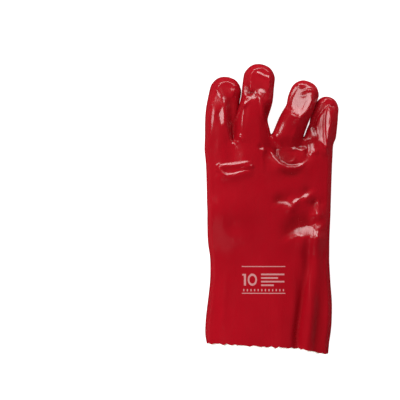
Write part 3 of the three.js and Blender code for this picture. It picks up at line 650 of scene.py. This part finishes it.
def add_folds(flat, lift, fade_end=2.6):
    """Raises each fold along its line, or sinks it, with its own width to either side."""
    for line, left, right in FOLDS.values():
        line = smooth_line(line)
        near = np.flatnonzero(near_box(flat, line[:, :2], fade_end * max(left, right)))
        here = flat[near]
        best = np.full(len(here), np.inf)
        side = np.zeros(len(here))
        height = np.zeros(len(here))
        for start, end in zip(line[:-1], line[1:]):
            run = end[:2] - start[:2]
            foot, share = foot_on(here, start[:2], end[:2])
            gap = here - foot
            distance = np.hypot(gap[:, 0], gap[:, 1])
            closer = distance < best
            best[closer] = distance[closer]
            side[closer] = (run[0] * gap[:, 1] - run[1] * gap[:, 0])[closer]
            height[closer] = (start[2] + (end[2] - start[2]) * share)[closer]
        width = np.where(side > 0, left, right)
        lift[near] += height * np.exp(-((best / width) ** 2))


def fold_heights(points, upper):
    """How high the back is lifted at each point, in metres. The flat faces are pressed on upper points alone."""
    flat = points[:, :2] / MM
    lift = np.zeros(len(flat))
    add_swells(flat, lift)
    add_faces(flat, points[:, 2] / MM, lift, upper)
    add_folds(flat, lift)
    return lift * MM


def inner_lift(points, quads, lift, spread=4, soften=3):
    """The lift of what lies inside the coat's outer skin: never above the skin's own, and without its sharp folds.

    Towards the cuff's end, where all walls show, it turns into the skin's own lift.
    """
    start, end = 8 * MM, 30 * MM
    inner = lift.copy()
    for _ in range(spread):
        least = inner[quads].min(1)
        for corner in range(4):
            np.minimum.at(inner, quads[:, corner], least)
    for _ in range(soften):
        total, count = np.zeros(len(inner)), np.zeros(len(inner))
        mean = inner[quads].mean(1)
        for corner in range(4):
            np.add.at(total, quads[:, corner], mean)
            np.add.at(count, quads[:, corner], 1)
        inner = total / count
    inner = np.minimum(inner, lift)
    return lift + (inner - lift) * softstep(points[:, 1] - points[:, 1].min(), start, end)


def tree_of(points):
    """Finds the nearest of some points."""
    tree = kdtree.KDTree(len(points))
    for i, point in enumerate(points):
        tree.insert(point, i)
    tree.balance()
    return tree


def outer_skin(settings):
    """The coat's outer skin with the folds in it, and how each of its points was moved."""
    if "outer" not in made:
        points, quads = rounded_skin(cages_of("pvc_coat")[0], settings.fine_levels)
        side, back, faceted = 0.12, 0.6, 0.3  # how far up the skin faces, from 0 at the side to 1 on the back
        up = normals_of(points, quads)[:, 2]
        top = softstep(up, side, back)
        lift = fold_heights(points, up > faceted) * settings.fold_height * top
        moved = points.copy()
        moved[:, 2] = np.maximum(moved[:, 2] + lift, 0)
        made["outer"] = (waved(moved, quads), quads, top, lift, inner_lift(points, quads, lift), tree_of(points))
    return made["outer"]


def follow(points, quads, settings, clearance=0.4 * MM):
    """Points of a wall within the coat, moved as the nearest point of the outer skin was, and clear of the floor."""
    _, _, _, _, inner, tree = outer_skin(settings)
    near = np.array([tree.find(point)[1] for point in points])
    out = points.copy()
    out[:, 2] = np.maximum(out[:, 2] + inner[near], clearance)
    return waved(out, quads)


def open_rim(points, faces):
    """The points of a skin's open rim in order, starting at the one that is furthest to the left."""
    faces = faces.tolist() if isinstance(faces, np.ndarray) else faces
    ways = {(face[i - 1], face[i]) for face in faces for i in range(len(face))}
    after = {start: end for start, end in ways if (end, start) not in ways}
    first = min(after, key=lambda i: points[i, 0])
    rim = [first]
    while after[rim[-1]] != first:
        rim.append(after[rim[-1]])
    if len(rim) != len(after):
        raise RuntimeError("a skin's rim isn't one closed line")
    return rim


def over_the_top(points, faces):
    """The rim in order from its left end, over the back first, whichever way the skin's faces turn."""
    rim = open_rim(points, faces)
    quarter = len(rim) // 4
    return rim if points[rim[quarter], 2] > points[rim[-quarter], 2] else [rim[0], *rim[:0:-1]]


def waved(points, quads):
    """A skin whose open rim has the uneven teeth of pinking shears, about 8 mm apart.

    The teeth drift along the rim and differ in height, and the whole rim sways a little. In from the rim it fades.
    """
    band, fade = 12 * MM, 3.2 * MM
    rim = over_the_top(points, quads)
    line = points[rim]
    steps = np.linalg.norm(np.roll(line, -1, axis=0) - line, axis=1)
    along = np.concatenate([[0], np.cumsum(steps)[:-1]]) / steps.sum() * TEETH
    drift = along + 0.22 * np.sin(along * 1.7) + 0.13 * np.sin(along * 4.3 + 1.0)
    tooth = np.abs((drift % 1.0) * 2 - 1) * 2 - 1
    height = 0.62 + 0.25 * np.sin(along * 2.3 + 0.6) + 0.2 * np.sin(along * 0.9)
    sway = 0.35 * np.sin(along * 0.6 + 2.0)
    wave = MM * (tooth * height + sway)
    tree = tree_of(line * (1, 0, 1))
    out = points.copy()
    for i in np.flatnonzero(points[:, 1] < line[:, 1].max() + band):
        place = tree.find((points[i, 0], 0, points[i, 2]))[1]
        out[i, 1] += wave[place] * math.exp(-(((points[i, 1] - line[place, 1]) / fade) ** 2))
    return out


def cut_edge(outer, inner, first):
    """Triangles between two rims. The inner one runs the other way and starts at inner[0]."""
    inner = [inner[0], *inner[:0:-1]]
    faces, i, j = [], 0, 0
    many, few = len(outer), len(inner)
    while i < many or j < few:
        if j >= few or (i < many and (i + 1) / many <= (j + 1) / few):
            faces.append((outer[(i + 1) % many], outer[i], first + inner[j % few]))
            i += 1
        else:
            faces.append((outer[i % many], first + inner[j], first + inner[(j + 1) % few]))
            j += 1
    return faces


def aligned(outer_points, outer_rim, inner_points, inner_rim):
    """The inner rim turned so that it starts beside the outer rim's first point."""
    gaps = np.linalg.norm(inner_points[inner_rim] - outer_points[outer_rim[0]], axis=1)
    start = int(gaps.argmin())
    return inner_rim[start:] + inner_rim[:start]


def wall_mesh(name, outer, inner):
    """One closed wall from its outer and inner skins, each (points, quads), and the points of its two rims."""
    outer_rim = open_rim(*outer)
    inner_rim = aligned(outer[0], outer_rim, inner[0], open_rim(*inner))
    first = len(outer[0])
    points = np.vstack([outer[0], inner[0]])
    faces = outer[1].tolist() + (inner[1] + first).tolist() + cut_edge(outer_rim, inner_rim, first)
    mesh = bpy.data.meshes.new(name)
    mesh.from_pydata(points.tolist(), [], faces)
    mesh.update()
    return mesh, outer_rim, [first + i for i in inner_rim]


def carry(mesh, name, values):
    """Gives the mesh a number at each point, for its material."""
    mesh.attributes.new(name, "FLOAT", "POINT").data.foreach_set("value", values.astype(np.float32))


def finish_piece(name, mesh, material, node=None):
    """A new piece with its material, riding on the body."""
    mesh.materials.clear()
    mesh.materials.append(material)
    mesh.shade_smooth()
    mesh.set_sharp_from_angle(angle=math.radians(60))
    piece = bpy.data.objects.new(name, mesh)
    bpy.context.scene.collection.objects.link(piece)
    if node:
        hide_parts(node)
    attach(piece, "root")


# Operators

class GLOVE_OT_coat(bpy.types.Operator):
    """Make the dipped coat with its folds, thinned where it lies on the floor"""

    bl_idname = "glove.coat"
    bl_label = "Coat"

    def execute(self, context):
        settings = context.scene.glove_coat
        deepest, underneath = 2.2 * MM, 0.02  # a full crease, and how far the underside may face up
        moved, quads, top, lift, _, _ = outer_skin(settings)
        points, inner = rounded_skin(cages_of("pvc_coat")[1], settings.coarse_levels)
        inner_points = follow(points, inner, settings)
        mesh, _, _ = wall_mesh("coat", (moved, quads), (inner_points, inner))
        none = np.zeros(len(inner_points))
        carry(mesh, "top", np.concatenate([top, none]))
        # How deep each point lies in a crease, for painted shade in the coat's colour and a little more roughness
        carry(mesh, "crease", np.concatenate([np.clip(-lift / deepest, 0, 1), none]))
        thing = bpy.data.objects.new("coat_work", mesh)
        context.scene.collection.objects.link(thing)
        group = thing.vertex_groups.new(name="underside")
        below = top <= underneath
        group.add(np.flatnonzero(below).tolist(), 1.0, "REPLACE")
        share = np.all(below[quads], axis=1).sum() / (len(quads) + len(inner))
        thin = thing.modifiers.new("thin", "DECIMATE")
        thin.vertex_group = "underside"
        thin.vertex_group_factor = 10.0
        thin.ratio = 1 - (1 - settings.underside_share) * share
        result = evaluated_mesh(thing)
        bpy.data.objects.remove(thing)
        result.name = "coat"
        finish_piece("coat", result, coat_finish(settings), "pvc_coat")
        return {"FINISHED"}


class GLOVE_OT_lining(bpy.types.Operator):
    """Make the knitted cotton lining inside the coat"""

    bl_idname = "glove.lining"
    bl_label = "Lining"

    def execute(self, context):
        settings = context.scene.glove_lining
        skins = []
        for cage in cages_of("cotton_lining"):
            points, quads = rounded_skin(cage, settings.levels)
            skins.append((follow(points, quads, context.scene.glove_coat), quads))
        mesh, outer_rim, inner_rim = wall_mesh("lining", *skins)
        place = array_of(mesh)
        made["edge"] = (place[outer_rim] + place[[inner_rim[0], *inner_rim[:0:-1]]]) / 2
        finish_piece("lining", mesh, cotton_finish(settings, "knitted_cotton"), "cotton_lining")
        return {"FINISHED"}


def edge_tree(material):
    """Geometry Nodes: small cut loops of yarn that stand along a closed line."""
    tree = bpy.data.node_groups.new("cut_loops", "GeometryNodeTree")
    sockets = tree.interface
    sockets.new_socket("Line", in_out="INPUT", socket_type="NodeSocketGeometry")
    for name, kind, value in (
            ("Count", "NodeSocketInt", 300), ("Reach", "NodeSocketFloat", 0.0009),
            ("Thickness", "NodeSocketFloat", 0.0005), ("Seed", "NodeSocketInt", 7)):
        sockets.new_socket(name, in_out="INPUT", socket_type=kind).default_value = value
    sockets.new_socket("Loops", in_out="OUTPUT", socket_type="NodeSocketGeometry")

    def add(kind, settings=None, inputs=None):
        return new_node(tree, kind, settings, inputs)

    given = add("NodeGroupInput").outputs
    line = add("GeometryNodeMeshToCurve", None, {"Mesh": given["Line"]})
    even = add("GeometryNodeResampleCurve", None, {"Curve": line.outputs[0], "Count": given["Count"]})
    sweep = {"Start Angle": math.radians(200), "Sweep Angle": math.radians(230)}
    arc = add("GeometryNodeCurveArc", None, {"Resolution": 6, "Radius": 1.0, **sweep})
    half = add("ShaderNodeMath", {"operation": "MULTIPLY"}, {0: given["Thickness"], 1: 0.5})
    share = add("ShaderNodeMath", {"operation": "DIVIDE"}, {0: half.outputs[0], 1: given["Reach"]})
    ring = add("GeometryNodeCurvePrimitiveCircle", None, {"Resolution": 5, "Radius": share.outputs[0]})
    yarn = {"Curve": arc.outputs[0], "Profile Curve": ring.outputs[0], "Fill Caps": True}
    loop = add("GeometryNodeCurveToMesh", None, yarn)
    turns = {0: (-0.5, -0.7, -0.7), 1: (0.5, 0.7, 0.7), "Seed": given["Seed"]}
    turn = add("FunctionNodeRandomValue", {"data_type": "FLOAT_VECTOR"}, turns)
    size = add("FunctionNodeRandomValue", {"data_type": "FLOAT"}, {2: 0.45, 3: 1.0, "Seed": given["Seed"]})
    scale = add("ShaderNodeMath", {"operation": "MULTIPLY"}, {0: size.outputs[1], 1: given["Reach"]})
    spread = add("GeometryNodeInstanceOnPoints", None, {
        "Points": even.outputs[0], "Instance": loop.outputs[0],
        "Rotation": turn.outputs[0], "Scale": scale.outputs[0]})
    real = add("GeometryNodeRealizeInstances", None, {0: spread.outputs[0]})
    dressed = add("GeometryNodeSetMaterial", None, {"Geometry": real.outputs[0], "Material": material})
    add("NodeGroupOutput", None, {"Loops": dressed.outputs[0]})
    return tree


class GLOVE_OT_edge(bpy.types.Operator):
    """Make the cut yarn loops along the lining's raw edge"""

    bl_idname = "glove.edge"
    bl_label = "Cut edge"

    def execute(self, context):
        settings = context.scene.glove_edge
        if "edge" not in made:
            raise RuntimeError("make the lining first")
        line = made["edge"] - np.array([0, 0.1 * MM, 0])
        mesh = bpy.data.meshes.new("edge_line")
        mesh.from_pydata(line.tolist(), [(i, (i + 1) % len(line)) for i in range(len(line))], [])
        thing = bpy.data.objects.new("edge_line", mesh)
        material = cotton_finish(context.scene.glove_lining, "cut_yarn", knitted=False)
        tree = edge_tree(material)
        grow = thing.modifiers.new("cut_loops", "NODES")
        grow.node_group = tree
        values = {name: getattr(settings, name.lower()) for name in ("Count", "Reach", "Thickness", "Seed")}
        for item in tree.interface.items_tree:
            if item.in_out == "INPUT" and item.name in values:
                grow[item.identifier] = values[item.name]
        context.scene.collection.objects.link(thing)
        result = evaluated_mesh(thing)
        if not result.polygons:
            raise RuntimeError("the cut edge has no loops")
        thing.modifiers.remove(grow)
        bpy.data.objects.remove(thing)
        result.name = "cut_edge_loops"
        finish_piece("cut_edge_loops", result, material)
        return {"FINISHED"}


def soft_light(name, place, aim, size, radiance, glossy=True):
    """A flat rectangular light of a given brightness, turned towards a point."""
    lamp = bpy.data.lights.new(name, "AREA")
    lamp.shape = "RECTANGLE"
    lamp.size, lamp.size_y = size
    lamp.energy = radiance * math.pi * size[0] * size[1]
    thing = bpy.data.objects.new(name, lamp)
    thing.location = place
    thing.rotation_euler = (Vector(aim) - Vector(place)).to_track_quat("-Z", "Y").to_euler()
    thing.visible_camera = False
    thing.visible_glossy = glossy
    bpy.context.scene.collection.objects.link(thing)


class GLOVE_OT_stage(bpy.types.Operator):
    """Make the floor, the lights and the camera"""

    bl_idname = "glove.stage"
    bl_label = "Stage"

    def execute(self, context):
        settings = context.scene.glove_stage
        half, sensor, half_glove = settings.floor_size / 2, 36.0, 0.02
        mesh = bpy.data.meshes.new("floor")
        corners = [(-half, -half, 0), (half, -half, 0), (half, half, 0), (-half, half, 0)]
        mesh.from_pydata(corners, [], [(0, 1, 2, 3)])
        floor = bpy.data.objects.new("floor", mesh)
        f = Finish("pale_floor")
        colour = f.mixed(f.noise(f.place(), scale=9.0), opaque((0.52,) * 3), opaque((0.55,) * 3))
        white = opaque((1.0,) * 3)
        mesh.materials.append(f.surface(
            Base_Color=colour, Roughness=0.9, Emission_Color=white, Emission_Strength=0.9))
        context.scene.collection.objects.link(floor)
        floor.visible_glossy = False
        soft_light("key_light", (0.10, 1.04, 0.43), (0.0, 0.05, 0.02), (1.2, 0.32), settings.key_radiance)
        soft_light("left_light", (-0.66, 0.58, 0.85), (0.05, 0.075, 0.025), (0.36, 0.36), settings.left_radiance)
        soft_light(
            "fill_light", (-0.60, -0.90, 1.05), (0.0, -0.10, 0.02), (0.8, 0.8), settings.fill_radiance, glossy=False)
        world = bpy.data.worlds.new("studio")
        world.use_nodes = True
        background = world.node_tree.nodes["Background"].inputs
        background["Color"].default_value = white
        background["Strength"].default_value = settings.room_light
        world.cycles_visibility.glossy = False
        context.scene.world = world
        lens = bpy.data.cameras.new("camera")
        lens.sensor_width = sensor
        lens.lens = sensor * (settings.camera_height - half_glove) / settings.view_width
        lens.clip_start, lens.clip_end = 0.05, 30.0
        camera = bpy.data.objects.new("camera", lens)
        camera.location = (*settings.view_centre, settings.camera_height)
        context.scene.collection.objects.link(camera)
        context.scene.camera = camera
        context.scene.view_settings.view_transform = "Standard"
        return {"FINISHED"}


class GLOVE_PT_panel(bpy.types.Panel):
    """The glove's makers, in order"""

    bl_idname = "GLOVE_PT_panel"
    bl_label = "Coated work glove"
    bl_space_type = "VIEW_3D"
    bl_region_type = "UI"
    bl_category = "Glove"

    def draw(self, context):
        for group in GROUPS:
            box = self.layout.box()
            box.operator(group.replace("_", "."))
            settings = getattr(context.scene, group)
            for name in settings.__annotations__:
                box.prop(settings, name)


GROUPS = {
    "glove_coat": GloveCoatSettings,
    "glove_lining": GloveLiningSettings,
    "glove_edge": GloveEdgeSettings,
    "glove_stage": GloveStageSettings,
}
CLASSES = (*GROUPS.values(), GLOVE_OT_coat, GLOVE_OT_lining, GLOVE_OT_edge, GLOVE_OT_stage, GLOVE_PT_panel)


def register():
    for kind in CLASSES:
        bpy.utils.register_class(kind)
    for name, kind in GROUPS.items():
        setattr(bpy.types.Scene, name, bpy.props.PointerProperty(type=kind))


def unregister():
    for name in GROUPS:
        delattr(bpy.types.Scene, name)
    for kind in reversed(CLASSES):
        bpy.utils.unregister_class(kind)


def main():
    register()
    bpy.ops.glove.coat()
    bpy.ops.glove.lining()
    bpy.ops.glove.edge()
    bpy.ops.glove.stage()


if __name__ == "__main__":
    main()
